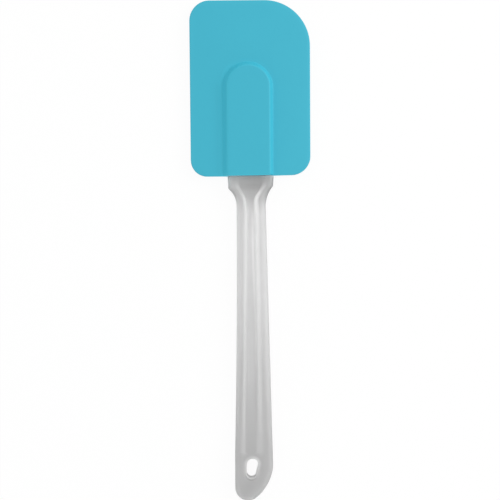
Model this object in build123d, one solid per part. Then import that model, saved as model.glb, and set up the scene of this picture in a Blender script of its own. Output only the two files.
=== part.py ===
from build123d import *
import os
from math import atan2, cos, radians, sin, tan

# Silicone spatula lying face up on a table, with every size in millimetres.
# +Y runs from the hook end of the handle to the tip of the blade, +X is the side of the
# blade's large corner, +Z points up. The origin is on the table, under the middle.
# It has two pieces: a moulded silicone blade, and a moulded frosted plastic handle whose
# flat tongue is pushed into a blind socket in the blade. The blade pulls off to be washed.

# Tongue, the flat end of the handle that the blade is pushed over
tongue_length = 53.0
tongue_root_width = 19.6
tongue_tip_width = 18.6
tongue_root_thickness = 4.0
tongue_tip_thickness = 3.2
tongue_edge_chamfer = 0.6
grip_rib_count = 3
grip_rib_pitch = 12.0
grip_rib_width = 1.6
grip_rib_height = 0.2
grip_rib_side_margin = 3.0

# Fit of the blade on the tongue and against the collar
socket_clearance = 0.3
seat_gap = 0.2

# Blade, a flexible plate that thins towards its tip and its sides. Its edge is drafted both
# ways from the mould's parting line, halfway up.
blade_length = 87.8
blade_width = 60.4
blade_root_narrowing = 0.6
blade_corner_radius = 10.0
blade_bowl_radius = 23.0
blade_root_spine_thickness = 4.2
blade_root_side_thickness = 2.0
blade_tip_spine_thickness = 2.0
blade_tip_side_thickness = 1.6
blade_edge_draft = 18.0

# Pocket, the raised middle of the blade, moulded a little to one side of the socket
pocket_side_wall = 2.9
pocket_end_wall = 2.6
pocket_face_wall = 2.2
pocket_offset = 1.0
pocket_draft = 42.0
pocket_edge_radius = 1.6
pocket_foot_radius = 0.6
socket_mouth_chamfer = 0.4

# Handle: a collar under the blade, a neck, a grip with two ridges on each face, and a pad
handle_length = 162.0
collar_width = 23.0
collar_foot_width = 22.3
collar_length = 5.5
collar_corner_radius = 0.6
neck_length = 8.5
waist_width = 14.6
grip_bow = 0.3
grip_end_width = 18.9
grip_end_offset = 0.7
web_thickness = 6.6
handle_edge_radius = 2.2

# Ridges, which part at the neck, frame a groove down the grip and fade out at the pad
ridge_table_gap = 0.1
ridge_sink = 0.05
ridge_flank_width = 2.4
ridge_collar_spread = 7.2
ridge_waist_spread = 2.4
ridge_pad_spread = 4.1
groove_collar_width = 9.6
groove_waist_width = 1.6
groove_pad_width = 4.6
ridge_run_out = 14.0
pad_length = 22.0

# Nose, the slanted end of the handle, and the hanging slot through the pad
nose_length = 17.8
nose_round_radius = 6.5
nose_flat = 0.3
nose_side_reach = 7.5
nose_tip_reach = 5.0
hook_slot_length = 10.2
hook_slot_top_radius = 2.8
hook_slot_foot_radius = 2.35
hook_slot_lean = 7.0
hook_slot_inset = 17.7
hook_slot_offset = 0.2
hook_rim_chamfer = 0.8

# Shares, chosen by hand, that shape the ridges between the sizes above
crest_swing_shares = (0.25, 0.92)
groove_swing_shares = (0.22, 0.88)
neck_sink_shares = (0.2, 0.95)
collar_rise_share = 0.1
pad_rise_share = 0.76
pad_fade_shares = (0.62, 1.0)
wall_bend_share = 0.5

# Evenly spaced steps between the sections of a ridge, in the neck and where it fades
neck_step_count = 12
fade_step_count = 6

# A wall faces sideways, and an edge runs level, where less than this much of it is along Z
upright_share = 0.5

# One overrun for every cut and every oversized blank
overrun = 1.0

# Worked out from the sizes above
pocket_thickness = tongue_root_thickness + 2 * (socket_clearance + pocket_face_wall)
pocket_width = tongue_root_width + 2 * (socket_clearance + pocket_side_wall)
pocket_length = tongue_length + socket_clearance + pocket_end_wall
# The pad's draft widens it from the plate's surface down to the middle plane
pocket_base = pocket_width / 2 + blade_root_spine_thickness / 2 * tan(radians(pocket_draft))
blade_root_width = blade_width - blade_root_narrowing
overall_length = blade_length + seat_gap + handle_length
blade_tip_y = overall_length / 2
blade_root_y = blade_tip_y - blade_length
collar_y = blade_root_y - seat_gap
neck_y = collar_y - collar_length
waist_y = neck_y - neck_length
run_out_y = neck_y - ridge_run_out
hook_end_y = -overall_length / 2
nose_y = hook_end_y + nose_length
pad_y = hook_end_y + pad_length
ridge_rise = (pocket_thickness - web_thickness) / 2 - ridge_table_gap
lying_height = pocket_thickness / 2


def crossways(y):
    """The plane across the spatula at y, with its own x along +X and its own y along +Z."""
    return Plane(origin=(0, y, 0), x_dir=(1, 0, 0), z_dir=(0, -1, 0))


def slab(face, thickness):
    """A face in the middle plane thickened evenly to both sides."""
    return extrude(Pos(0, 0, -thickness / 2) * face, amount=thickness)


def between(start, end, share):
    return start + (end - start) * share


def upright_walls(solid):
    """The walls round a solid's outline and its holes, but not its broad faces."""
    return ShapeList(face for face in solid.faces() if abs(face.normal_at().Z) < upright_share)


def rims(walls):
    """Each edge, once, where one of these upright walls meets a broad face."""
    edges = [edge for wall in walls for edge in wall.edges()]
    level = [edge for edge in edges if abs((edge % 0.5).Z) < upright_share]
    return list(dict.fromkeys(level))


def tongue_blank(grow):
    """The tapered, round-ended tongue, grown all round by a clearance for its socket."""
    root = tongue_root_width / 2 + grow
    tip = tongue_tip_width / 2 + grow
    end_y = collar_y + tongue_length + grow
    start_y = collar_y - overrun
    lean = atan2(root - tip, tongue_length)
    round_y = end_y - tip / cos(lean) * (1 + sin(lean))
    start = root + overrun * tan(lean)
    outline = make_face(
        [
            Line((start, start_y), (tip, round_y)),
            TangentArc((tip, round_y), (-tip, round_y), tangent=(-sin(lean), cos(lean))),
            Line((-tip, round_y), (-start, start_y)),
            Line((-start, start_y), (start, start_y)),
        ]
    )
    root_half = tongue_root_thickness / 2 + grow
    tip_half = tongue_tip_thickness / 2 + grow
    start_half = root_half + overrun * (root_half - tip_half) / tongue_length
    wedge = Polyline(
        (start_y, -start_half),
        (end_y, -tip_half),
        (end_y, tip_half),
        (start_y, start_half),
        close=True,
    )
    side = Plane.YZ * make_face(wedge)
    blank = slab(outline, 2 * (start_half + overrun)) & extrude(side, amount=start + overrun, both=True)
    walls = upright_walls(blank).sort_by(Axis.Y)[1:]
    return chamfer(rims(walls), tongue_edge_chamfer + grow)


def grip_ribs():
    """Low round-ended bars across both faces of the tongue, which the silicone grips."""
    taper = (tongue_root_thickness - tongue_tip_thickness) / 2 / tongue_length
    length = tongue_tip_width - 2 * grip_rib_side_margin
    ribs = []
    for place in range(1, grip_rib_count + 1):
        along = place * grip_rib_pitch
        top = tongue_root_thickness / 2 - along * taper + grip_rib_height
        bar = slab(SlotOverall(length, grip_rib_width), 2 * top)
        ribs.append(Pos(0, collar_y + along, 0) * bar)
    return ribs


def blade_plan():
    """Near-parallel sides, three small corners, and the large one that follows a bowl."""
    outline = Polyline(
        (-blade_root_width / 2, blade_root_y),
        (blade_root_width / 2, blade_root_y),
        (blade_width / 2, blade_tip_y),
        (-blade_width / 2, blade_tip_y),
        close=True,
    )
    plan = make_face(outline)
    bowl_corner = plan.vertices().group_by(Axis.Y)[-1].sort_by(Axis.X)[-1]
    plan = fillet(bowl_corner, blade_bowl_radius)
    corners = plan.vertices().group_by(Axis.Y)
    plan = fillet(corners[-1].sort_by(Axis.X)[0], blade_corner_radius)
    beside_pocket = blade_root_width / 2 - pocket_base - pocket_offset
    root_corners = plan.vertices().group_by(Axis.Y)[0]
    return fillet(root_corners, min(blade_corner_radius, beside_pocket))


def blade_lens(y, spine, side):
    """Section of the plate at y: two shallow arcs, thickest on the centre line."""
    reach = blade_width / 2 + overrun
    edges = [
        ThreePointArc((-reach, side / 2), (0, spine / 2), (reach, side / 2)),
        Line((reach, side / 2), (reach, -side / 2)),
        ThreePointArc((reach, -side / 2), (0, -spine / 2), (-reach, -side / 2)),
        Line((-reach, -side / 2), (-reach, side / 2)),
    ]
    return crossways(y) * make_face(edges)


def blade_plate():
    """The plate, crowned across its width, thinning towards its tip and drafted at its edge."""
    root = blade_lens(blade_root_y, blade_root_spine_thickness, blade_root_side_thickness)
    tip = blade_lens(blade_tip_y, blade_tip_spine_thickness, blade_tip_side_thickness)
    height = blade_root_spine_thickness / 2 + overrun
    half = extrude(blade_plan(), amount=height, taper=blade_edge_draft)
    return (half + mirror(half, about=Plane.XY)) & loft([root, tip])


def blade_pocket():
    """The raised round-ended pad on both faces, with sloping walls and a softened edge."""
    round_y = blade_root_y + pocket_length - pocket_width / 2
    start_y = blade_root_y - pocket_base
    plan = make_face(
        [
            Line((pocket_base, start_y), (pocket_base, round_y)),
            ThreePointArc((pocket_base, round_y), (0, round_y + pocket_base), (-pocket_base, round_y)),
            Line((-pocket_base, round_y), (-pocket_base, start_y)),
            Line((-pocket_base, start_y), (pocket_base, start_y)),
        ]
    )
    upper = extrude(plan, amount=pocket_thickness / 2, taper=pocket_draft)
    upper = fillet(upper.faces().sort_by(Axis.Z)[-1].edges(), pocket_edge_radius)
    beyond_root = Pos(0, start_y, 0) * Box(4 * pocket_base, 2 * pocket_base, 2 * pocket_thickness)
    upper -= beyond_root
    return Pos(-pocket_offset, 0, 0) * (upper + mirror(upper, about=Plane.XY))


def make_blade():
    """Plate and pocket in one, with a softened foot between them and the blind socket inside."""
    plate = blade_plate()
    pocket = blade_pocket()
    blade = plate + pocket
    foot = new_edges(plate, pocket, combined=blade).filter_by(GeomType.BSPLINE)
    blade = fillet(foot, pocket_foot_radius)
    blade -= tongue_blank(socket_clearance)
    root_face = blade.faces().filter_by(Axis.Y).sort_by(Axis.Y)[0]
    return chamfer(root_face.inner_wires()[0].edges(), socket_mouth_chamfer)


def handle_plan():
    """Outline of the handle from above, from the collar to the slanted nose."""
    collar = collar_width / 2
    foot = collar_foot_width / 2
    waist = waist_width / 2
    end = grip_end_width / 2
    waist_right = Vector(waist, waist_y)
    waist_left = Vector(-waist, waist_y)
    nose_start = Vector(grip_end_offset + end, nose_y)
    pad_left = Vector(grip_end_offset - end, pad_y)
    straight_side = Line(waist_right, nose_start)
    bowed_side = SagittaArc(waist_left, pad_left, -grip_bow)
    outwards = straight_side % 0
    onwards = bowed_side % 1
    nose_corner = pad_left + onwards * ((hook_end_y - pad_y) / onwards.Y)
    nose_tip = nose_corner + Vector(nose_round_radius + nose_flat, 0)
    outline = [
        Line((-collar, collar_y), (collar, collar_y)),
        Line((collar, collar_y), (foot, neck_y)),
        TangentArc(waist_right, (foot, neck_y), tangent=-outwards),
        straight_side,
        Bezier(
            nose_start,
            nose_start + outwards * nose_side_reach,
            nose_tip + Vector(nose_tip_reach, 0),
            nose_tip,
        ),
        Line(nose_tip, nose_corner),
        Line(nose_corner, pad_left),
        bowed_side,
        TangentArc(waist_left, (-foot, neck_y), tangent=-(bowed_side % 0)),
        Line((-foot, neck_y), (-collar, collar_y)),
    ]
    plan = make_face(outline)
    plan = fillet(plan.vertices().sort_by_distance(nose_corner)[0], nose_round_radius)
    collar_feet = plan.vertices().group_by(Axis.Y)[-2]
    return fillet(collar_feet, collar_corner_radius)


def ridge_section(y, crest, floor, rise):
    """Section at y of the +X ridge, through the web, alike on both faces."""
    low = web_thickness / 2 - ridge_sink
    top = web_thickness / 2 + rise
    foot = crest + ridge_flank_width
    bend = between(floor, crest, wall_bend_share)
    shoulder = between(crest, foot, wall_bend_share)
    edges = [
        Bezier((floor, low), (bend, low), (bend, top), (crest, top)),
        Bezier((crest, top), (shoulder, top), (shoulder, low), (foot, low)),
        Line((foot, low), (foot, -low)),
        Bezier((foot, -low), (shoulder, -low), (shoulder, -top), (crest, -top)),
        Bezier((crest, -top), (bend, -top), (bend, -low), (floor, -low)),
        Line((floor, -low), (floor, low)),
    ]
    return crossways(y) * make_face(edges)


def eased(place, start, end):
    """Zero up to the start, one from the end on, and smooth between."""
    share = min(max((place - start) / (end - start), 0), 1)
    return share**3 * (10 - 15 * share + 6 * share**2)


def neck_section(place):
    """From the waist, at 0, to the collar, at 1, the ridge swings outwards and sinks."""
    return ridge_section(
        between(run_out_y, collar_y, place),
        between(ridge_waist_spread, ridge_collar_spread, eased(place, *crest_swing_shares)),
        between(groove_waist_width, groove_collar_width, eased(place, *groove_swing_shares)) / 2,
        between(ridge_rise, ridge_rise * collar_rise_share, eased(place, *neck_sink_shares)),
    )


def grip_section(place):
    """From the waist, at 0, to the pad, at 1, the ridges part steadily and then fade."""
    rise = between(ridge_rise, ridge_rise * pad_rise_share, place)
    return ridge_section(
        between(run_out_y, pad_y, place),
        between(ridge_waist_spread, ridge_pad_spread, place),
        between(groove_waist_width, groove_pad_width, place) / 2,
        between(rise, -ridge_sink, eased(place, *pad_fade_shares)),
    )


def ridge_stretch(section, start, end, step_count):
    """The stretch of one ridge between two places, through evenly spaced sections."""
    places = [between(start, end, step / step_count) for step in range(step_count + 1)]
    return loft([section(place) for place in places])


def ridges():
    """Both ridges, each one smooth bar from the collar to where it sinks into the pad."""
    neck = ridge_stretch(neck_section, 0, 1, neck_step_count)
    grip = ridge_stretch(grip_section, 0, pad_fade_shares[0], 1)
    fade = ridge_stretch(grip_section, *pad_fade_shares, fade_step_count)
    ridge = neck + grip + fade
    return [ridge, mirror(ridge, about=Plane.YZ)]


def hook_slot():
    """The hanging slot, narrower at its foot and leaning towards the nose."""
    spread = hook_slot_length - hook_slot_top_radius - hook_slot_foot_radius
    top = Circle(hook_slot_top_radius)
    foot = Pos(0, -spread, 0) * Circle(hook_slot_foot_radius)
    outline = make_hull([*top.edges(), *foot.edges()])
    place = Pos(-hook_slot_offset, hook_end_y + hook_slot_inset, 0) * Rot(0, 0, -hook_slot_lean)
    return place * slab(outline, 2 * pocket_thickness)


def make_handle():
    """The web with rounded edges and its slot, then the ridges and the tongue on it."""
    plan = handle_plan()
    handle = slab(plan, web_thickness)
    walls = upright_walls(handle).sort_by(Axis.Y)[:-1]
    handle = fillet(rims(walls), handle_edge_radius)
    slot = hook_slot()
    handle -= slot
    slot_walls = upright_walls(handle).sort_by_distance(slot.center())[: len(upright_walls(slot))]
    handle = chamfer(rims(slot_walls), hook_rim_chamfer)
    for ridge in ridges():
        handle += ridge & slab(plan, pocket_thickness)
    handle += tongue_blank(0)
    for rib in grip_ribs():
        handle += rib
    return handle


os.makedirs("parts", exist_ok=True)
for name, piece in (("blade", make_blade()), ("handle", make_handle())):
    export_step(Pos(0, 0, lying_height) * piece, f"parts/{name}.step")
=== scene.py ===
from math import cos, pi, radians, sin, sqrt, tan

import bmesh
import bpy
from mathutils import Euler, Matrix, Vector, geometry


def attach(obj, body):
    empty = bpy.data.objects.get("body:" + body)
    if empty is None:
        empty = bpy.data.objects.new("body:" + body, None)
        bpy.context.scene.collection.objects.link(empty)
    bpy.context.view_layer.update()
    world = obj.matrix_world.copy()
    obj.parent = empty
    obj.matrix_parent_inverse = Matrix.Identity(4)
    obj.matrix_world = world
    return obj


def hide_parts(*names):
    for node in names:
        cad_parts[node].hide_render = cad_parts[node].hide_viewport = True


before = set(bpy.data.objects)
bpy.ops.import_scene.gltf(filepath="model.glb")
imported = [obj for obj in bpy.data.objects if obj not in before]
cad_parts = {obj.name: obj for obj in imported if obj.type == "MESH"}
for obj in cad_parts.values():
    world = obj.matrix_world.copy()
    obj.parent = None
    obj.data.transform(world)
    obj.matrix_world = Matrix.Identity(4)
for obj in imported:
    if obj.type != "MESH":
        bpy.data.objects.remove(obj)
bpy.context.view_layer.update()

# Camera. The spatula lies face up and was photographed from straight above, from not quite
# half a metre. It is turned by less than half a degree in the picture, and fills its height.
camera_height = 0.4545
camera_lens = 64.72
camera_turn = radians(-0.42)
picture_centre = (-0.00063, 0.0)

camera_data = bpy.data.cameras.new("camera")
camera_data.lens = camera_lens
camera_data.sensor_width = 36.0
camera_data.clip_start = 0.01
camera = bpy.data.objects.new("camera", camera_data)
camera.location = (*picture_centre, camera_height)
camera.rotation_euler = Euler((0, 0, camera_turn))
bpy.context.collection.objects.link(camera)
bpy.context.scene.camera = camera


# Blade: one soft moulding in turquoise silicone, a plate that thins towards its sides and tip,
# with a thicker round-ended pocket in its middle. It leaves the mould with a fine matt skin, and
# is pushed over the handle's tongue, which its blind socket holds by its own stretch.
millimetre = 0.001
lying_height = 4.5
blade_root_y = 37.03
blade_tip_y = 125.0
blade_half_root = 29.9
blade_half_tip = 30.2
root_right_radius = 9.4
root_left_radius = 8.3
tip_right_radius = 23.0
tip_left_radius = 10.0
crown_reach = 31.2
spine_heights = (2.1, 1.0)
side_heights = (1.0, 0.8)

# The root edge was pushed home not quite square: it sits lower at the left
root_skew = 0.0105
skew_centre_x = -5.0
skew_end_y = 60.0

# The pocket's wall is steeper and sharper on the side of the large corner than on the other:
# draft, radius of the upper edge, and the reach of the wall's plane at the middle of the plate
pocket_x = -1.0
pocket_round_y = 81.2
pocket_top = 4.5
steep_wall = (radians(27), 1.0, 13.1)
easy_wall = (radians(42), 1.6, 14.5)
pocket_foot_blend = 0.4
pocket_corner_radius = 1.2
root_edge_radius = 0.08

# The edge of the plate, from its upper rim out and down to the mould's parting line
rim_run = 0.32
rim_steps = ((0.05, 0.015), (0.11, 0.06), (0.17, 0.14), (0.22, 0.27))
parting_ridge = ((0.30, 0.07), (0.34, 0.04), (0.34, 0.0))
rim_rings = [*rim_steps, *parting_ridge]

# Corners of the blade's section, counted from the middle of the pocket outwards: on its flat
# face, rounded edge and sloping wall, about the wall's foot, and across the plate
flat_shares = (0.0, 0.35, 0.65, 0.87, 1.0)
edge_shares = [step / 6 for step in range(1, 7)]
wall_shares = (0.3, 0.65)
foot_steps = (-0.36, -0.24, -0.12, 0.0, 0.12, 0.24, 0.4)
plate_shares = [step / 15 for step in range(1, 16)]
pocket_count = len(flat_shares) + len(edge_shares) + len(wall_shares) + len(foot_steps)

# Corners along the outline: on the blade's four round corners and on its straight sides
corner_segments = (10, 24, 10, 10)
tip_cuts = 9
right_side_cuts = 17
left_side_cuts = 23

# Lines across the pocket: their distances from the root, and how many follow up to its round end
near_root = (0.9, 0.6, 0.3, 0.08, 0.04, 0.015, 0.0)
pocket_side_steps = 16

# Corners closer together than this are one, and a place counts as reached within this gap
merge_distance = 0.004
gap = 0.01


def between(start, end, share):
    return start + (end - start) * share


def clamped(value):
    return min(max(value, 0), 1)


def eased(place, start, end):
    """Zero up to the start, one from the end on, and smooth between."""
    share = clamped((place - start) / (end - start))
    return share**3 * (10 - 15 * share + 6 * share**2)


def drop(radius, distance):
    """How far a rounded edge has fallen at a distance from its end, inside its radius."""
    short = 1 - clamped(distance / radius)
    return radius * (1 - sqrt(1 - short**2))


def plate_height(x, y):
    """Half the plate's thickness, most on the centre line at the root."""
    along = (y - blade_root_y) / (blade_tip_y - blade_root_y)
    spine = between(*spine_heights, along)
    side = between(*side_heights, along)
    return spine - (spine - side) * (x / crown_reach) ** 2


def pocket_wall(direction_x):
    """Draft, edge radius, width of the flat face and reach of the wall that faces a direction."""
    share = (1 + direction_x) / 2
    draft, edge, reach = (between(*pair, share) for pair in zip(easy_wall, steep_wall))
    flat = reach - pocket_top * tan(draft) - edge * tan((pi / 2 - draft) / 2)
    return draft, edge, flat, reach


def pocket_height(radius, wall):
    """Height of the pocket's flat face, rounded edge and sloping wall."""
    draft, edge, flat, reach = wall
    if radius <= flat:
        return pocket_top
    if radius < flat + edge * cos(draft):
        return pocket_top - edge + sqrt(edge**2 - (radius - flat) ** 2)
    return (reach - radius) / tan(draft)


def blend_up(first, second, width):
    """The higher of two heights, with the crease between them filled."""
    near = max(width - abs(first - second), 0)
    return max(first, second) + near**2 / (4 * width)


def extrude_edges(bm, edges, numbers, place):
    """Extrudes a chain of edges once. Each new corner keeps its number and goes to its place."""
    made = bmesh.ops.extrude_edge_only(bm, edges=edges)["geom"]
    moved = {}
    for corner in (part for part in made if isinstance(part, bmesh.types.BMVert)):
        neighbours = [edge.other_vert(corner) for edge in corner.link_edges]
        moved[corner] = next(numbers[vert] for vert in neighbours if vert in numbers)
        corner.co = place(moved[corner])
    return [part for part in made if isinstance(part, bmesh.types.BMEdge)], moved


def sweep(bm, count, stations, place, closed=False):
    """Draws a chain of corners at the first station and extrudes it through the others."""
    corners = [bm.verts.new(place(number, stations[0])) for number in range(count)]
    ends = zip(corners, corners[1:] + corners[:1]) if closed else zip(corners, corners[1:])
    edges = [bm.edges.new(pair) for pair in ends]
    first_edges = list(edges)
    numbers = dict(zip(corners, range(count)))
    for station in stations[1:]:
        edges, numbers = extrude_edges(bm, edges, numbers, lambda number: place(number, station))
    return first_edges


def close_doubles(bm):
    bmesh.ops.remove_doubles(bm, verts=bm.verts, dist=merge_distance)


def mirror_below(bm):
    """Adds the lower face, which is like the upper one, and joins both at the middle plane."""
    upper = [*bm.verts, *bm.edges, *bm.faces]
    bmesh.ops.mirror(bm, geom=upper, matrix=Matrix(), merge_dist=merge_distance, axis="Z")
    close_doubles(bm)


def open_edges(bm):
    return [edge for edge in bm.edges if edge.is_boundary]


def fill_round(bm, edges, normal):
    """Closes a flat end face round the hole in it."""
    bmesh.ops.triangle_fill(bm, use_beauty=True, use_dissolve=False, edges=edges, normal=normal)
    close_doubles(bm)


def finished_piece(name, bm, crease=radians(28)):
    """Turns a mesh in millimetres about the middle plane into a piece that lies on the table."""
    bmesh.ops.recalc_face_normals(bm, faces=bm.faces)
    for face in bm.faces:
        face.smooth = True
    for edge in bm.edges:
        edge.smooth = edge.calc_face_angle(0) < crease
    bmesh.ops.translate(bm, verts=bm.verts, vec=(0, 0, lying_height))
    bmesh.ops.scale(bm, verts=bm.verts, vec=(millimetre, millimetre, millimetre))
    mesh = bpy.data.meshes.new(name)
    bm.to_mesh(mesh)
    bm.free()
    piece = bpy.data.objects.new(name, mesh)
    bpy.context.collection.objects.link(piece)
    return piece


def blade_outline():
    """The plate's rim from its root at the right, round by the tip, to its root at the left."""
    plan = bmesh.new()
    root_in, tip_in = blade_root_y + rim_run, blade_tip_y - rim_run
    half_root, half_tip = blade_half_root - rim_run, blade_half_tip - rim_run
    corners = [(half_root, root_in), (half_tip, tip_in), (-half_tip, tip_in), (-half_root, root_in)]
    verts = [plan.verts.new((*corner, 0)) for corner in corners]
    plan.faces.new(verts)
    radii = (root_right_radius, tip_right_radius, tip_left_radius, root_left_radius)
    for vert, radius, segments in zip(verts, radii, corner_segments):
        bmesh.ops.bevel(
            plan,
            geom=[vert],
            offset=radius - rim_run,
            offset_type="OFFSET",
            affect="VERTICES",
            segments=segments,
            profile=0.5,
            material=-1,
        )
    for edge in sorted(plan.edges, key=lambda edge: -edge.calc_length())[:4]:
        middle = (edge.verts[0].co + edge.verts[1].co) / 2
        if middle.y > root_in + gap:
            at_tip = abs(middle.x) < half_tip / 2
            cuts = tip_cuts if at_tip else right_side_cuts if middle.x > 0 else left_side_cuts
            bmesh.ops.subdivide_edges(plan, edges=[edge], cuts=cuts)
    plan.faces.ensure_lookup_table()
    loop = [corner.vert.co.to_2d() for corner in plan.faces[0].loops]
    plan.free()
    start = Vector((blade_half_root - root_right_radius, root_in))
    first = min(range(len(loop)), key=lambda number: (loop[number] - start).length)
    loop = loop[first:] + loop[:first]
    return [loop[0], *loop[:0:-1]] if loop[1].y < root_in + gap else loop


def blade_stations():
    """Lines from the middle of the pocket out to the rim, each with the rim's own direction."""
    outline = blade_outline()
    straight = [
        between(blade_root_y + near_root[0], pocket_round_y, step / pocket_side_steps)
        for step in range(1, pocket_side_steps + 1)
    ]
    side = [blade_root_y + height for height in reversed(near_root)] + straight
    turns = len(outline) - 2 * (len(side) - 1) - 1
    stations = [(Vector((pocket_x, y)), Vector((1, 0))) for y in side]
    for step in range(1, turns):
        angle = pi * step / turns
        centre = Vector((pocket_x, pocket_round_y))
        stations.append((centre, Vector((cos(angle), sin(angle)))))
    stations += [(Vector((pocket_x, y)), Vector((-1, 0))) for y in reversed(side)]
    normals = []
    for number in range(1, len(outline) - 1):
        along = (outline[number + 1] - outline[number - 1]).normalized()
        normals.append(Vector((along.y, -along.x)))
    normals = [Vector((0, -1)), *normals, Vector((0, -1))]
    return [(*station, rim, normal) for station, rim, normal in zip(stations, outline, normals)]


def rim_place(rim, normal, height, step):
    """One corner of the plate's edge. Its first steps go down from the upper face."""
    out, level = step
    return Vector((*(rim + normal * out), height - level if step in rim_steps else level))


def pocket_foot(centre, direction):
    """Distance of the wall's foot from the pocket's middle, where it meets the plate."""
    draft, _, _, reach = pocket_wall(direction.x)
    return reach - plate_height(*(centre + direction * reach)) * tan(draft)


def blade_place(number, station):
    """One corner of the blade's upper face."""
    centre, direction, rim, normal = station
    root_gap = centre.y - blade_root_y
    wall = pocket_wall(direction.x)
    draft, edge, flat, _ = wall
    foot = pocket_foot(centre, direction)
    narrow = 1 - drop(pocket_corner_radius, root_gap) / foot
    sag = drop(root_edge_radius, root_gap)
    wall_start = flat + edge * cos(draft)
    radii = [flat * share for share in flat_shares]
    radii += [flat + edge * sin((pi / 2 - draft) * share) for share in edge_shares]
    radii += [between(wall_start, foot + foot_steps[0], share) for share in wall_shares]
    radii += [foot + step for step in foot_steps]
    if number < pocket_count:
        point = centre + direction * radii[number] * narrow
        height = pocket_height(radii[number], wall)
        return Vector((*point, blend_up(plate_height(*point), height, pocket_foot_blend) - sag))
    number -= pocket_count
    if number < len(plate_shares):
        share = plate_shares[number]
        point = (centre + direction * radii[-1] * narrow).lerp(rim, share)
        return Vector((*point, plate_height(*point) - sag * (1 - share)))
    return rim_place(rim, normal, plate_height(*rim), rim_rings[number - len(plate_shares)])


# The tongue's section is a bar with cut edges and a round end. The socket is the same shape,
# three tenths of a millimetre larger all round.
tongue_root_y = 37.0
tongue_length = 53.0
tongue_half_widths = (9.8, 9.3)
tongue_half_heights = (2.0, 1.6)
tongue_chamfer = 0.6
socket_clearance = 0.3
socket_mouth = 0.4
rib_half_length = 6.3
least_shoulder_share = 0.4
tongue_corners = 12
socket_steps = 8
socket_round_steps = 12


def tongue_section(number, station):
    """One of the twelve corners of the tongue's section, or of its socket's, three a quarter."""
    y, grow = station
    along = (y - tongue_root_y) / tongue_length
    half_width = between(*tongue_half_widths, along) + grow
    half_height = between(*tongue_half_heights, along) + grow
    cut = tongue_chamfer + grow
    end_y = tongue_root_y + tongue_length + grow
    end_radius = tongue_half_widths[1] + grow
    round_y = end_y - end_radius
    if y > round_y:
        half_width = sqrt(max(end_radius**2 - (y - round_y) ** 2, 0))
    half_height -= max(cut - (end_y - y), 0)
    cut = min(cut, half_width)
    shoulder = half_height - cut
    if y > end_y - cut:
        shoulder = max(shoulder, least_shoulder_share * half_height)
    reach = min(rib_half_length, half_width - cut)
    quarter = [(half_width, shoulder), (half_width - cut, half_height), (reach, half_height)]
    side, corner = divmod(number, 3)
    x, z = quarter[corner if side % 2 == 0 else 2 - corner]
    return Vector((x if side in (0, 3) else -x, y, z if side < 2 else -z))


def round_end_stations(grow, steps):
    """Places along the round end of the tongue or of its socket, closer together at its tip."""
    radius = tongue_half_widths[1] + grow
    round_y = tongue_root_y + tongue_length + grow - radius
    return [(round_y + radius * sin(pi / 2 * step / steps), grow) for step in range(steps + 1)]


bm = bmesh.new()
stations = blade_stations()
sweep(bm, pocket_count + len(plate_shares) + len(rim_rings), stations, blade_place)
close_doubles(bm)

# The root edge of the plate, on both sides of the pocket, gets the same rim as the rest
root_spans = []
for station in (stations[0], stations[-1]):
    ends = sorted((blade_place(pocket_count - 1, station).x, station[2].x))
    root_spans.append((ends[0] - gap, ends[1] + gap))


def is_root_edge(edge):
    """Open edges that run across at the root, beside the pocket."""
    left, right = sorted(vert.co.x for vert in edge.verts)
    near = all(vert.co.y < blade_root_y + rim_run + gap for vert in edge.verts)
    beside = any(low < left and right < high for low, high in root_spans)
    return right - left > gap and near and beside


def root_rim_place(start, ring):
    out, level = ring
    height = start.z - level if ring in rim_steps else level
    return Vector((start.x, between(start.y, blade_root_y, out / rim_run), height))


edges = [edge for edge in open_edges(bm) if is_root_edge(edge)]
starts = {vert: vert.co.copy() for edge in edges for vert in edge.verts}
for ring in rim_rings:
    edges, starts = extrude_edges(bm, edges, starts, lambda start: root_rim_place(start, ring))
close_doubles(bm)
mirror_below(bm)

# The socket runs inwards from its chamfered mouth, and its mouth closes the root's end face
root_loop = open_edges(bm)
socket_round = round_end_stations(socket_clearance, socket_round_steps)
inner_y, round_y = blade_root_y + socket_mouth, socket_round[0][0]
socket = [(blade_root_y, socket_clearance + socket_mouth)]
socket += [
    (between(inner_y, round_y, step / socket_steps), socket_clearance)
    for step in range(socket_steps)
]
mouth = sweep(bm, tongue_corners, socket + socket_round, tongue_section, closed=True)
fill_round(bm, root_loop + mouth, (0, -1, 0))

for vert in bm.verts:
    fade = 1 - eased(vert.co.y, blade_root_y, skew_end_y)
    vert.co.y += (vert.co.x - skew_centre_x) * root_skew * fade
blade = finished_piece("silicone_blade", bm)
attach(blade, "blade")
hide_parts("blade")


def paint(piece, name, share):
    """Stores one number at each corner of a piece, worked out from its place in millimetres."""
    layer = piece.data.attributes.new(name, "FLOAT", "POINT")
    for vert, item in zip(piece.data.vertices, layer.data):
        x, y, z = vert.co / millimetre
        item.value = share(x, y, abs(z - lying_height))


# Over how many millimetres the painted light on the wall comes in from the flat face and dies away
# on the plate, at the right and at the left, and over how many the painted light on the rim comes
# in
wall_rise = 0.8
wall_fades = (0.6, 2.2)
rim_fade = 3


def wall_share(x, y, height):
    """One on the pocket's sloping wall, zero on its flat face and on the plate."""
    centre = Vector((pocket_x, min(y, pocket_round_y)))
    out = Vector((x, y)) - centre
    direction = out.normalized()
    flat = pocket_wall(direction.x)[2]
    beyond = out.length - pocket_foot(centre, direction)
    fade = between(*wall_fades, clamped(-direction.x) ** 4)
    return min(clamped((out.length - flat) / wall_rise), clamped(1 - beyond / fade))


def root_share(x, y, height):
    """One on the pocket's end face at the root, zero just in front of it."""
    root_y = blade_root_y + (x - skew_centre_x) * root_skew
    return clamped(1 - (y - root_y) / (2 * root_edge_radius))


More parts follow.
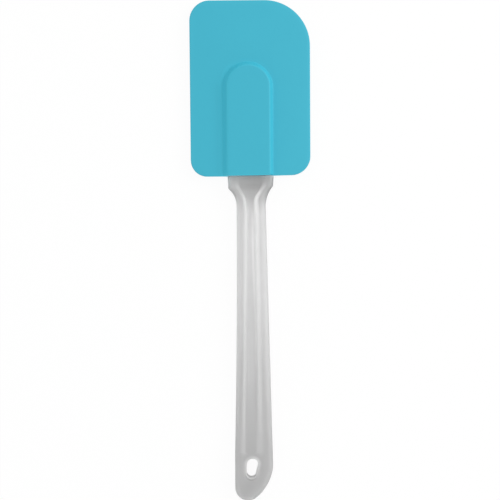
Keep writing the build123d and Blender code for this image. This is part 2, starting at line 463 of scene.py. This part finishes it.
def rim_share(x, y, height):
    """One at the plate's thin rim, falling to zero inside it."""
    inside = min(blade_half_tip - abs(x), blade_tip_y - y)
    bowl = Vector((blade_half_tip - tip_right_radius, blade_tip_y - tip_right_radius))
    beyond = Vector((x, y)) - bowl
    if min(beyond) > 0:
        inside = tip_right_radius - beyond.length
    return clamped(1 - inside / rim_fade)


paint(blade, "wall", wall_share)
paint(blade, "rim", rim_share)
paint(blade, "root", root_share)


class Shade:
    """A value inside a material. Sums on it add Math nodes, and make() adds any other node."""

    def __init__(self, tree, socket=None):
        self.tree = tree
        self.socket = socket

    def make(self, kind, settings, inputs, output=0):
        node = self.tree.nodes.new(kind)
        for name, value in settings.items():
            if name == "stops":
                ramp = node.color_ramp
                while len(ramp.elements) < len(value):
                    ramp.elements.new(0.5)
                for stop, (place, colour) in zip(ramp.elements, value):
                    stop.position = place
                    stop.color = colour
            else:
                setattr(node, name, value)
        for name, value in inputs.items():
            if isinstance(value, Shade):
                self.tree.links.new(value.socket, node.inputs[name])
            else:
                node.inputs[name].default_value = value
        return Shade(self.tree, node.outputs[output] if node.outputs else None)

    def math(self, operation, first, second=0.0):
        return self.make("ShaderNodeMath", {"operation": operation}, {0: first, 1: second})

    def __add__(self, other):
        return self.math("ADD", self, other)

    def __sub__(self, other):
        return self.math("SUBTRACT", self, other)

    def __rsub__(self, other):
        return self.math("SUBTRACT", other, self)

    def __mul__(self, other):
        return self.math("MULTIPLY", self, other)

    def __truediv__(self, other):
        return self.math("DIVIDE", self, other)

    __radd__ = __add__
    __rmul__ = __mul__

    def clamp(self):
        return self.make("ShaderNodeClamp", {}, {"Value": self})

    def place(self):
        """The piece's own place in metres."""
        return self.make("ShaderNodeTexCoord", {}, {}, "Object")

    def painted(self, name):
        """A number painted on the piece's corners."""
        return self.make("ShaderNodeAttribute", {"attribute_name": name}, {}, "Fac")

    def noise(self, place, scale, detail=2.0):
        inputs = {"Vector": place, "Scale": scale, "Detail": detail}
        return self.make("ShaderNodeTexNoise", {}, inputs)

    def stretched(self, place, stretch):
        return self.make("ShaderNodeMapping", {}, {"Vector": place, "Scale": stretch})

    def mix(self, share, first, second, blend="MIX"):
        """A mix of two colours. The node keeps them at its sockets 6 and 7, and gives it at 2."""
        settings = {"data_type": "RGBA", "blend_type": blend}
        return self.make("ShaderNodeMix", settings, {0: share, 6: first, 7: second}, 2)

    def bump(self, height, depth, strength=1.0):
        inputs = {"Strength": strength, "Distance": depth, "Height": height}
        return self.make("ShaderNodeBump", {}, inputs)


def new_material(name):
    material = bpy.data.materials.new(name)
    material.use_nodes = True
    material.node_tree.nodes.clear()
    return material, Shade(material.node_tree)


# Matt silicone: a spark-eroded grain, faint clouds in the pigment, painted light on the pocket's
# sloping wall, the thin rim and the edge at the root, standing in for light that passes through
# them, and a rim that wiping has polished a little
cloud_dark = (0.033, 0.420, 0.564, 1)
cloud_light = (0.041, 0.452, 0.598, 1)
mottle_light = (0.041, 0.459, 0.604, 1)
painted_wall_light = (0.046, 0.540, 0.700, 1)
painted_rim_light = (0.044, 0.484, 0.634, 1)
painted_root_light = (0.080, 0.680, 0.850, 1)

silicone, tree = new_material("silicone")
place = tree.place()
cloud = tree.noise(place, scale=45.0, detail=3.0)
mottle = tree.noise(place, scale=420.0, detail=3.0)
grain = tree.noise(place, scale=2600.0)
rim = tree.painted("rim")
tint = tree.mix(cloud, cloud_dark, cloud_light)
tint = tree.mix((mottle - 0.5) * 0.5 + 0.25, tint, mottle_light)
# Painted light on the pocket's sloping wall, which reaches farther over the plate at the left
tint = tree.mix(tree.painted("wall") * 0.5, tint, painted_wall_light)
# Painted light on the plate's thin rim
tint = tree.mix(rim * 0.3, tint, painted_rim_light)
# Painted light on the pocket's end face at the root, which lifts the shade at the joint with the
# handle
tint = tree.mix(tree.painted("root"), tint, painted_root_light)
skin = tree.make(
    "ShaderNodeBsdfPrincipled",
    {},
    {
        "Base Color": tint,
        "Roughness": 0.54 + cloud * 0.12 - rim * 0.08,
        "Normal": tree.bump(grain + mottle * 0.6, depth=0.00003, strength=0.35),
        "Specular IOR Level": 0.5,
    },
)
tree.make("ShaderNodeOutputMaterial", {}, {"Surface": skin})
blade.data.materials.append(silicone)


# Handle: one moulding in frosted, uncoloured, translucent plastic. Its collar stands against the
# blade's root, two ridges run down both faces of the grip, and the pad has a hanging slot. The
# flat tongue beyond the collar is ribbed, and is hidden in the blade's socket.
# What differs between the sides has 1 for the right and -1 for the left.
collar_y = tongue_root_y
collar_half = 11.5
collar_feet = {1: Vector((11.1, 31.9)), -1: Vector((11.2, 30.7))}
waist_halves = {1: 7.38, -1: 7.17}
waist_y = {1: 21.5, -1: 22.0}
grip_bow = 0.42
pad_y = -103.0
pad_left = -8.86
nose_start = Vector((10.15, -107.2))
hook_end_y = -125.0
nose_round = 6.5
nose_flat = 0.3
nose_side_reach = 7.4
nose_tip_reach = 5.2
web_height = 3.3
edge_radius = 2.2
collar_edge_radius = 0.08
foot_blend = 1.0
side_ridge = 0.03
least_web = 0.1
grip_end_y = -100.5

# The two ridges and the groove between them. They lean a little to the left on their way down.
# Pairs go from the waist to the pad.
run_out_y = 17.5
ridge_rise = 1.1
pad_rise_share = 0.76
ridge_fade_y = -73
ridge_flank = 2.4
ridge_lean = 0.7
floor_halves = (0.8, 2.3)
crest_places = (2.4, 4.1)

# In the neck they part towards the collar, and their walls first steepen and then flatten out
collar_crest = 7.2
waist_wall = 1.6
neck_wall = 1.0
collar_wall_more = 1.2
collar_rise_share = 0.1
neck_lean = 0.4

# The shares of the neck's length, from the waist on, over which each of these happens
parting = (0.27, 0.93)
steepening = (0, 0.35)
flattening = (0.5, 1)
sinking = (0.2, 0.95)


def side_line(y, side):
    """Distance of the handle's outline from its axis at y, and the cosine of its lean there."""
    foot = collar_feet[side]
    if y >= foot.y:
        return between(foot.x, collar_half, (y - foot.y) / (collar_y - foot.y)), 1.0
    if y >= waist_y[side]:
        return neck_arc(y, side)
    if side > 0:
        share = (waist_y[side] - y) / (waist_y[side] - nose_start.y)
        return between(waist_halves[side], nose_start.x, share), 1.0
    share = (waist_y[side] - y) / (waist_y[side] - pad_y)
    bow = grip_bow * 4 * share * (1 - share)
    return between(waist_halves[side], -pad_left, share) - bow, 1.0


def neck_arc(y, side):
    """The concave arc that runs from the waist out to the collar's foot."""
    waist = Vector((waist_halves[side], waist_y[side]))
    widening = (nose_start.x - waist.x) / (waist.y - nose_start.y) if side > 0 else 0.0
    along = Vector((-widening, 1)).normalized()
    chord = collar_feet[side] - waist
    radius = chord.length / (2 * sin(along.angle(chord)))
    centre = waist + Vector((along.y, -along.x)) * radius
    upright = sqrt(1 - ((y - centre.y) / radius) ** 2)
    return centre.x - radius * upright, upright


def ridge_shape(y):
    """Half width of the groove's floor, distance of the crests, their height and their lean."""
    if y > run_out_y:
        place = (y - run_out_y) / (collar_y - run_out_y)
        crest = between(crest_places[0], collar_crest, eased(place, *parting))
        wall = between(waist_wall, neck_wall, eased(place, *steepening))
        wall += collar_wall_more * eased(place, *flattening)
        rise = between(ridge_rise, ridge_rise * collar_rise_share, eased(place, *sinking))
        return crest - wall, crest, rise, neck_lean * sin(pi * place)
    place = (run_out_y - y) / (run_out_y - pad_y)
    rise = between(ridge_rise, ridge_rise * pad_rise_share, place)
    rise *= 1 - eased(y, ridge_fade_y, grip_end_y)
    return between(*floor_halves, place), between(*crest_places, place), rise, ridge_lean * place


def s_curve(start, end, share):
    """Places along a wall that leaves the floor level and arrives at the crest level."""
    middle = (start + end) / 2
    x = start * (1 - share) ** 3 + middle * 3 * share * (1 - share) + end * share**3
    return x, 3 * share**2 - 2 * share**3


# Corners of the grip's section, counted from its axis outwards: on the groove's floor, up its
# wall, down the ridge's flank, on the flat web, round the edge and down to the parting line
floor_steps = (0.0, 0.33, 0.67, 1.0)
wall_steps = [step / 8 for step in range(1, 9)]
web_steps = (0.5, 1.0)
rim_angles = [pi / 2 * step / 9 for step in range(1, 10)]
side_levels = (0.45, 0.05, 0.0)
half_count = len(floor_steps) + 2 * len(wall_steps) + len(web_steps)
half_count += len(rim_angles) + len(side_levels)


def half_section(number, y, side):
    """One corner of the upper half of the grip's section, counted from the axis outwards."""
    edge, upright = side_line(y, side)
    foot_y = collar_feet[side].y
    foot_share = min(abs(y - foot_y) / foot_blend, 1)
    if foot_share < 1:
        mean = (side_line(foot_y - gap, side)[1] + 1) / 2
        upright = between(mean, upright, foot_share)
    rim = edge_radius / upright
    floor, crest, rise, lean = ridge_shape(y)
    floor, crest = floor - lean * side, crest - lean * side
    if number < len(floor_steps):
        return floor * floor_steps[number], web_height
    number -= len(floor_steps)
    if number < len(wall_steps):
        x, share = s_curve(floor, crest, wall_steps[number])
        return x, web_height + rise * share
    number -= len(wall_steps)
    foot = min(crest + ridge_flank, edge - rim - least_web)
    if number < len(wall_steps):
        x, share = s_curve(crest, foot, wall_steps[number])
        return x, web_height + rise * (1 - share)
    number -= len(wall_steps)
    if number < len(web_steps):
        return between(foot, edge - rim, web_steps[number]), web_height
    number -= len(web_steps)
    if number < len(rim_angles):
        angle = rim_angles[number]
        return edge - rim * (1 - sin(angle)), web_height - edge_radius * (1 - cos(angle))
    number -= len(rim_angles)
    return edge + (side_ridge if number > 0 else 0.0), side_levels[number]


def grip_section(number, y):
    """One corner of the upper side of the grip, from the left outline over to the right one."""
    side = 1 if number >= half_count - 1 else -1
    step = abs(number - (half_count - 1))
    sag = drop(collar_edge_radius, collar_y - y)
    x, z = half_section(step, y, side)
    shrink = sag if step > len(floor_steps) else 0
    return Vector((side * (x - shrink), y, z - sag if z > side_levels[0] else z))


# Places along the handle. They lie close together at the collar's edge and at its two feet.
collar_edge_turns = [pi / 2 * step / 4 for step in range(5)]
collar_stations = (36.2, 35.6, 35.0, 34.4, 33.8, 33.2, 32.7, 32.3, 32.0, 31.8, 31.5, 31.2)
foot_stations = (30.9, 30.6, 30.4, 30.2)
neck_stations = [30.0 - 0.5 * step for step in range(26)]
grip_start_y = 17.0
grip_shares = [step / 76 for step in range(1, 77)]


def grip_stations():
    edge = [collar_y - collar_edge_radius * (1 - cos(turn)) for turn in collar_edge_turns]
    grip = [between(grip_start_y, grip_end_y, share) for share in grip_shares]
    return [*edge, *collar_stations, *foot_stations, *neck_stations, *grip]


def straight_run(start, end, pull):
    """A straight piece of outline, its handles pulled in from its ends by a share of it."""
    return start, start.lerp(end, pull), start.lerp(end, 1 - pull), end


def nose_path():
    """Outline points and outward directions from the left side round the nose to the right."""
    right_slope = (nose_start.x - waist_halves[1]) / (waist_y[1] - nose_start.y)
    down_right = Vector((right_slope, -1)).normalized()
    corner = Vector((pad_left, hook_end_y))
    quarter_turn = 0.5523
    before, after = corner + Vector((0, nose_round)), corner + Vector((nose_round, 0))
    corner_in, corner_out = before.lerp(corner, quarter_turn), after.lerp(corner, quarter_turn)
    tip = corner + Vector((nose_round + nose_flat, 0))
    left_top = Vector((-side_line(grip_end_y, -1)[0], grip_end_y))
    right_top = Vector((side_line(grip_end_y, 1)[0], grip_end_y))
    tip_out = tip + Vector((nose_tip_reach, 0))
    side_in = nose_start + down_right * nose_side_reach

    # Each run is a curve with two handles, and the number of its steps
    runs = [
        (*straight_run(left_top, before, 0.33), 12),
        (before, corner_in, corner_out, after, 16),
        (*straight_run(after, tip, 0.3), 2),
        (tip, tip_out, side_in, nose_start, 30),
        (*straight_run(nose_start, right_top, 0.33), 7),
    ]
    points = []
    for *curve, steps in runs:
        points += geometry.interpolate_bezier(*curve, steps + 1)[:-1]
    points = [point.to_2d() for point in (*points, right_top)]
    outward = []
    for previous, following in zip(points, points[2:]):
        along = (following - previous).normalized()
        outward.append(Vector((along.y, -along.x)))
    return list(zip(points, [Vector((-1, 0)), *outward, Vector((1, 0))]))


def nose_section(number, station):
    """One corner from the flat of the pad out over the rounded edge and down to the middle."""
    point, outward = station
    inset, level = edge_radius, web_height
    if 0 < number <= len(rim_angles):
        angle = rim_angles[number - 1]
        inset = edge_radius * (1 - sin(angle))
        level = web_height - edge_radius * (1 - cos(angle))
    elif number > 0:
        number -= len(rim_angles) + 1
        inset, level = -side_ridge if number > 0 else 0.0, side_levels[number]
    return Vector((*(point - outward * inset), level))


# The hanging slot is egg-shaped and leans. Its radii are those of its top and of its foot, and
# its rims are rounded.
slot_place = Vector((-0.1, -106.65))
slot_lean = radians(-7)
slot_radii = (2.8, 2.35)
slot_spread = 4.75
slot_rim = 0.6
slot_turns = [pi / 2 * step / 6 for step in range(7)]

# Rings of corners on the flat of the pad, outside the slot's wall, and the levels of its wall
slot_rings = (2.4, 1.9, 1.4, 0.95)
slot_wall_levels = (1.8, 0.9, 0.0)


def slot_section(number, station):
    """One corner of a ring round the hanging slot, at a distance outside its wall."""
    out, level, count = station
    angle = 2 * pi * number / count
    low = sin(angle) < -(slot_radii[0] - slot_radii[1]) / slot_spread
    spot = Vector((cos(angle), sin(angle))) * (slot_radii[low] + out)
    spot -= Vector((0, slot_spread if low else 0))
    spot.rotate(Matrix.Rotation(slot_lean, 2))
    return Vector((*(slot_place + spot), level))


# Three low cross ribs on each face of the tongue grip the silicone
rib_places = (12, 24, 36)
rib_width = 1.6
rib_height = 0.2
rib_slope = 0.25
tongue_plain_length = 5
tongue_round_steps = 14


def tongue_stations():
    sides = (-rib_width / 2, rib_width / 2)
    ribs = [tongue_root_y + place + side for place in rib_places for side in sides]
    places = (tongue_root_y, tongue_root_y + tongue_plain_length, *ribs)
    return [(y, 0.0) for y in places] + round_end_stations(0.0, tongue_round_steps)


def is_rib(face):
    """The faces, above and below, out of which the ribs of the tongue grow."""
    middle = face.calc_center_median()
    beside = min(abs(middle.y - tongue_root_y - place) for place in rib_places)
    return beside < rib_width / 4 and abs(middle.x) < gap


def is_pad_edge(edge):
    """Edges round the hole in the flat of the pad, between the grip's end and the nose."""
    level, end_y = web_height - 2 * gap, grip_end_y + gap
    return all(vert.co.z > level and vert.co.y < end_y for vert in edge.verts)


bm = bmesh.new()
sweep(bm, 2 * half_count - 1, grip_stations(), grip_section)
sweep(bm, len(rim_angles) + len(side_levels) + 1, nose_path(), nose_section)
close_doubles(bm)

# The slot has as many corners round it as the pad has, so that the two join in a clean band
pad_loop = [edge for edge in open_edges(bm) if is_pad_edge(edge)]
count = len(pad_loop)
slot_stations = [(out, web_height, count) for out in slot_rings]
slot_stations += [
    (slot_rim * (1 - sin(turn)), web_height - slot_rim * (1 - cos(turn)), count)
    for turn in slot_turns
]
slot_stations += [(0.0, level, count) for level in slot_wall_levels]
slot_loop = sweep(bm, count, slot_stations, slot_section, closed=True)
bmesh.ops.bridge_loops(bm, edges=pad_loop + slot_loop)
mirror_below(bm)

# The tongue grows out of the collar's end face, and its ribs out of the tongue
collar_loop = open_edges(bm)
root_loop = sweep(bm, tongue_corners, tongue_stations(), tongue_section, closed=True)
fill_round(bm, collar_loop + root_loop, (0, 1, 0))
bmesh.ops.recalc_face_normals(bm, faces=bm.faces)
ribs = [face for face in bm.faces if is_rib(face)]
bmesh.ops.inset_individual(bm, faces=ribs, thickness=rib_slope, depth=rib_height)
handle = finished_piece("ridged_handle", bm)
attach(handle, "handle")
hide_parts("handle")


# Painted light of the frosted body: a glow along each ridge, from where it starts in the groove
# to where it ends on the flank, in millimetres from the crest, at places along the handle
left_painted_glow = (
    (37, (-2.2, 0.0, 0.4, 2.4)),
    (25, (-1.0, 0.0, 0.3, 2.4)),
    (15, (-1.2, 0.4, 0.5, 2.8)),
    (-60, (-1.2, 0.4, 0.5, 2.6)),
    (-101, (-1.8, -0.5, 0.0, 2.0)),
)
right_painted_glow = (
    (37, (-2.0, 0.0, 0.2, 2.0)),
    (25, (-1.0, -0.3, 0.2, 2.0)),
    (15, (-1.6, -0.5, 0.4, 2.0)),
    (0, (-1.6, -0.3, 0.8, 2.0)),
    (-40, (-1.6, -0.3, 1.2, 2.8)),
    (-101, (-2.2, -0.6, 0.8, 3.0)),
)

# Painted light on the right wall of the groove, where the lamp's light comes through the ridge:
# the places where this starts, is full, falls off and ends, along the handle and out from the
# crest. It moves outwards on its way down the grip.
inner_wall_ys = (24, 17, -60, -92)
inner_wall_outs = (-2.7, -1.7, -1.1, 0.2)
inner_wall_shift = 0.9
inner_wall_shift_ys = (5, -45)


def painted_glow_at(y, glow):
    for (start, first), (end, last) in zip(glow, glow[1:]):
        if y >= end:
            share = clamped((start - y) / (start - end))
            return [between(*pair, share) for pair in zip(first, last)]
    return glow[-1][1]


def within(place, start, full, falling, end):
    """One between two places, zero beyond the outer two, and eased in between."""
    return eased(place, start, full) * (1 - eased(place, falling, end))


def on_side(side, share):
    """The same share at one side of the handle, and zero at the other."""
    return lambda x, y, height: share(x, y, height) if x * side > 0 else 0


def ridge_light_share(x, y, height):
    """One along the ridges and zero beside them."""
    if not grip_end_y - gap < y <= collar_y:
        return 0
    side = 1 if x > 0 else -1
    _, crest, _, lean = ridge_shape(y)
    out = (x + lean) * side - crest
    start, full, falling, end = painted_glow_at(y, right_painted_glow if side > 0 else left_painted_glow)
    return min(eased(out, start, full), clamped((end - out) / (end - falling)))


def inner_wall_light_share(x, y, height):
    if not grip_end_y - gap < y < inner_wall_ys[0] or x < 0:
        return 0
    _, crest, _, lean = ridge_shape(y)
    out = x + lean - crest - inner_wall_shift * eased(y, *inner_wall_shift_ys)
    return within(y, *inner_wall_ys) * within(out, *inner_wall_outs)


# Painted light and shade in the groove: darker in the neck and lighter down the grip
def groove_share(x, y, height):
    """One in the groove between the ridges and zero from their crests outwards."""
    if not grip_end_y - gap < y <= collar_y:
        return 0
    floor, crest, _, lean = ridge_shape(y)
    return clamped((crest - abs(x + lean)) / (crest - floor))


# The outline's painted shade, lighter at the left edge than at the right, leaves out the slot's
# surroundings. The collar's edge against the blade gets painted light, lighter than the rest.
slot_surroundings = 8
edge_shade_power = 0.75
root_end_fade = 0.9


def edge_share(x, y, height):
    """One at the outline and zero where the rounded edge meets the broad faces."""
    if (Vector((x, y)) - slot_place).length < slot_surroundings or y > collar_y:
        return 0
    fallen = clamped((web_height - height) / edge_radius)
    return (fallen * (2 - fallen)) ** edge_shade_power


def root_end_share(x, y, height):
    """One at the collar's edge against the blade, zero a little before it."""
    return clamped(1 - (collar_y - y) / root_end_fade) if y <= collar_y + gap else 0


# Round the slot a painted glow is strongest towards the lamp and weakest below, and the rim below
# is painted dark as shade. Both have a direction, strengths, and a reach from the slot's wall.
glow_towards = Vector((0.43, 0.9))
glow_power = 8
glow_beside = 0.5
glow_more = 0.45
glow_less = 0.35
glow_full = 1.25
glow_reach = 1.5
shade_towards = Vector((-0.25, -0.97))
shade_sharpness = 2.4
shade_start = 1.4
shade_middle = 0.55
shade_half_width = 0.7


def beside_slot(x, y):
    """Distance from the slot's wall, negative inside it."""
    spot = Vector((x, y)) - slot_place
    spot.rotate(Matrix.Rotation(-slot_lean, 2))
    down = clamped(-spot.y / slot_spread)
    return (spot + Vector((0, down * slot_spread))).length - between(*slot_radii, down)


def from_slot(x, y):
    """Direction from the middle of the slot."""
    return (Vector((x, y + slot_spread / 2)) - slot_place).normalized()


def slot_glow_share(x, y, height):
    out = from_slot(x, y)
    towards = max(out.dot(glow_towards), 0) ** glow_power
    facing = glow_beside + glow_more * towards - glow_less * max(-out.y, 0)
    return facing * clamped(glow_full - beside_slot(x, y) / glow_reach)


def slot_shade_share(x, y, height):
    facing = clamped(shade_sharpness * from_slot(x, y).dot(shade_towards) - shade_start)
    return facing * clamped(1 - abs(beside_slot(x, y) - shade_middle) / shade_half_width)


def slot_wall_share(x, y, height):
    """One inside the slot, below its rounded rim."""
    inside = beside_slot(x, y) < slot_rim / 2
    return clamped((web_height - height) / slot_rim) if inside else 0


painted_light_and_shade_shares = {
    "inner_wall": inner_wall_light_share,
    "left_ridge": on_side(-1, ridge_light_share),
    "right_ridge": on_side(1, ridge_light_share),
    "groove": groove_share,
    "left_edge": on_side(-1, edge_share),
    "right_edge": on_side(1, edge_share),
    "slot_glow": slot_glow_share,
    "slot_shade": slot_shade_share,
    "root_end": root_end_share,
    "slot_wall": slot_wall_share,
}
for name, share in painted_light_and_shade_shares.items():
    paint(handle, name, share)

# Painted light and shade, as tones at places along the handle in millimetres: on the flat flanks,
# and then where each of the painted numbers is one
flank_tones = (
    (37, 0.50), (30, 0.52), (25, 0.60), (18, 0.72), (-20, 0.72), (-100, 0.53), (-125, 0.52),
)
painted_light_and_shade_tones = {
    "left_edge": (
        (37, 0.62), (33, 0.50), (31, 0.40), (28, 0.43), (26, 0.55),
        (22, 0.80), (10, 0.88), (-25, 0.84), (-100, 0.54),
    ),
    "right_edge": (
        (37, 0.42), (31, 0.30), (27, 0.32), (22, 0.53), (10, 0.58), (-25, 0.57), (-100, 0.43),
    ),
    "groove": (
        (37, 0.46), (31, 0.47), (29, 0.56), (26, 0.60), (23, 0.71),
        (20, 0.77), (5, 0.81), (-25, 0.76), (-60, 0.70), (-100, 0.54),
    ),
    "inner_wall": ((24, 0.74), (15, 0.88), (5, 0.95), (-25, 0.88), (-60, 0.78), (-100, 0.60)),
    "left_ridge": (
        (36, 0.47), (34, 0.50), (32, 0.59), (30, 0.62), (28, 0.68), (26, 0.77), (23, 0.80),
        (12, 0.86), (-25, 0.80), (-60, 0.66), (-90, 0.65), (-100, 0.64),
    ),
    "right_ridge": (
        (36, 0.49), (34, 0.50), (32, 0.60), (30, 0.68), (28, 0.84), (26, 0.92), (23, 0.87),
        (12, 0.82), (-25, 0.77), (-60, 0.66), (-90, 0.64), (-100, 0.62),
    ),
}
handle_length = collar_y - hook_end_y


def grey(tone):
    return (tone, tone, tone, 1)


def along_handle(tree, y, tones):
    """A grey that changes along the handle, from tones given at places in millimetres."""
    stops = [((place - hook_end_y) / handle_length, grey(tone)) for place, tone in reversed(tones)]
    share = (y - hook_end_y * millimetre) / (handle_length * millimetre)
    return tree.make("ShaderNodeValToRGB", {"stops": stops}, {"Fac": share})


def darker_oval(x, y, centre, half_size):
    """One in the middle of an oval, zero outside it."""
    across = (x / millimetre - centre[0]) / half_size[0]
    down = (y / millimetre - centre[1]) / half_size[1]
    return (1 - across * across - down * down).clamp()


# Frosted plastic: its tone is painted light and shade over the ridges, groove, edges, slot and
# collar, with faint flow lines along it, two darker ovals across the collar, and a fine
# spark-eroded grain on the skin. Above the neck it is painted a little darker towards the right.
# Tones of the painted glow and shade round the slot, of the painted light on its wall, and of the
# painted light at the collar's edge against the blade
slot_glow_tone, slot_shade_tone, slot_wall_tone, root_end_tone = 0.82, 0.36, 0.9, 0.9
dark_tone = 0.1
collar_shade = 0.008
collar_shade_y = 22
collar_shade_run = 10

plastic, tree = new_material("frosted_plastic")
place = tree.place()
x = tree.make("ShaderNodeSeparateXYZ", {}, {"Vector": place}, "X")
y = tree.make("ShaderNodeSeparateXYZ", {}, {"Vector": place}, "Y")
tone = along_handle(tree, y, flank_tones)
# Each painted number mixes in its own painted light or shade
for name, tones in painted_light_and_shade_tones.items():
    tone = tree.mix(tree.painted(name), tone, along_handle(tree, y, tones))
tone = tree.mix(tree.painted("slot_glow"), tone, grey(slot_glow_tone))
tone = tree.mix(tree.painted("slot_shade"), tone, grey(slot_shade_tone))
# Painted light on the slot's wall, below its rounded rim
tone = tree.mix(tree.painted("slot_wall") * 0.9, tone, grey(slot_wall_tone))
# Painted light at the collar's edge against the blade, which lifts the blade's shadow there
tone = tree.mix(tree.painted("root_end") * 0.8, tone, grey(root_end_tone))
darker_ovals = darker_oval(x, y, centre=(1.4, 35.8), half_size=(7.0, 1.5))
darker_ovals += darker_oval(x, y, centre=(1.4, 32.3), half_size=(5.0, 0.9))
flow = tree.noise(tree.stretched(place, (1.0, 0.06, 1.0)), scale=900.0, detail=3.0)
cloud = tree.noise(place, scale=130.0, detail=3.0)
grain = tree.noise(place, scale=1800.0, detail=3.0)
# Darker in the two ovals, and darker or lighter at random with the flow lines and clouds
darkening = darker_ovals * 0.07 + (flow - 0.5) * 0.05 + (cloud - 0.5) * 0.06
tone = tree.mix(darkening, tone, grey(dark_tone))
# Painted shade towards the right above the neck, and painted light towards the left
above_neck = ((y / millimetre - collar_shade_y) / collar_shade_run).clamp()
tone = tree.mix(1.0, tone, 1 - x / millimetre * above_neck * collar_shade, "MULTIPLY")
body = tree.make(
    "ShaderNodeBsdfPrincipled",
    {},
    {
        "Base Color": tone,
        "Roughness": 0.46 + cloud * 0.1,
        "Normal": tree.bump(grain, depth=0.00001, strength=0.3),
        "Transmission Weight": 0.15,
        "IOR": 1.49,
        "Subsurface Weight": 1.0,
        "Subsurface Radius": (1.0, 1.0, 1.0),
        "Subsurface Scale": 0.009,
    },
)
tree.make("ShaderNodeOutputMaterial", {}, {"Surface": body})
handle.data.materials.append(plastic)


# Table: one plain sheet of white paper, far larger than the picture. The camera sees it as
# white, and the spatula's soft shadow stays on it.
table_half = 3.0
table_drop = 0.00002
paper_glow = 0.94
paper_light, paper_dark = 1.0, 0.97

bm = bmesh.new()
bmesh.ops.create_grid(bm, x_segments=1, y_segments=1, size=table_half)
bmesh.ops.translate(bm, verts=bm.verts, vec=(0, 0, -table_drop))
table_mesh = bpy.data.meshes.new("table")
bm.to_mesh(table_mesh)
bm.free()
table = bpy.data.objects.new("table", table_mesh)
bpy.context.collection.objects.link(table)


def seen_directly(tree):
    """One for the rays of the camera, of gloss and of clear plastic, zero for the light's own."""
    kinds = ("Is Camera Ray", "Is Glossy Ray", "Is Transmission Ray")
    first, second, third = (tree.make("ShaderNodeLightPath", {}, {}, kind) for kind in kinds)
    return (first + second + third).clamp()


paper, tree = new_material("white_paper")
fibre = tree.noise(tree.place(), scale=60.0)
white = tree.mix(fibre, grey(paper_light), grey(paper_dark))
lit = tree.make("ShaderNodeBsdfDiffuse", {}, {"Color": white})
glow = tree.make("ShaderNodeEmission", {}, {"Color": grey(1), "Strength": 1.0})
share = seen_directly(tree) * paper_glow
sheet = tree.make("ShaderNodeMixShader", {}, {0: share, 1: lit, 2: glow})
tree.make("ShaderNodeOutputMaterial", {}, {"Surface": sheet})
table_mesh.materials.append(paper)


# Light: a white studio all round, which the camera sees as plain white, and one large soft lamp
# at the right, a little towards the tip
room_strength = 0.81
backdrop_strength = 1.0
lamp_height = radians(35)
lamp_side = radians(22)
lamp_distance = 1.2
lamp_size = 0.7
lamp_power = 5.0

scene = bpy.context.scene
scene.view_settings.view_transform = "Standard"
world = bpy.data.worlds.new("studio")
scene.world = world
world.use_nodes = True
world.node_tree.nodes.clear()
tree = Shade(world.node_tree)
room, backdrop = (
    tree.make("ShaderNodeBackground", {}, {"Color": grey(1), "Strength": strength})
    for strength in (room_strength, backdrop_strength)
)
studio = tree.make("ShaderNodeMixShader", {}, {0: seen_directly(tree), 1: room, 2: backdrop})
tree.make("ShaderNodeOutputWorld", {}, {"Surface": studio})

lamp_data = bpy.data.lights.new("softbox", "AREA")
lamp_data.shape = "SQUARE"
lamp_data.size = lamp_size
lamp_data.energy = lamp_power
lamp = bpy.data.objects.new("softbox", lamp_data)
flat_reach = cos(lamp_height)
towards = Vector((flat_reach * cos(lamp_side), flat_reach * sin(lamp_side), sin(lamp_height)))
lamp.location = towards * lamp_distance
lamp.rotation_euler = towards.to_track_quat("Z", "Y").to_euler()
bpy.context.collection.objects.link(lamp)
